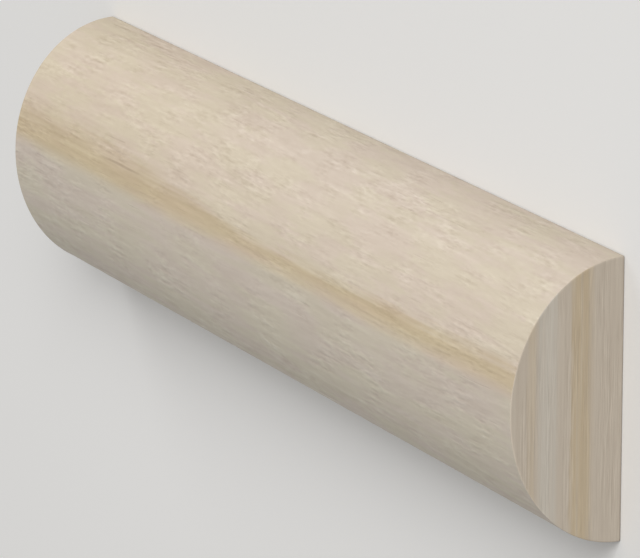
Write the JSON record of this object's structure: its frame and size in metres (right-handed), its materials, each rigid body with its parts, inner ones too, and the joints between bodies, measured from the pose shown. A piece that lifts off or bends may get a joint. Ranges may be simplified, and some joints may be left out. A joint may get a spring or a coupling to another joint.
{
  "type": "half round moulding",
  "caption": "Short straight length of pale wood moulding with a flat back and a rounded, half-elliptic face, to trim a joint or an edge.",
  "frame": {"origin": "middle of the flat back, which lies on the floor", "axes": "+X along the grain, +Y across the back, +Z out of the back to the crown of the round"},
  "size_m": [0.175, 0.044, 0.019],
  "materials": {
    "pale_wood": "bare, planed and sanded, matt"
  },
  "bodies": {
    "root": {"half_round_moulding": "pale_wood"}
  },
  "joints": []
}
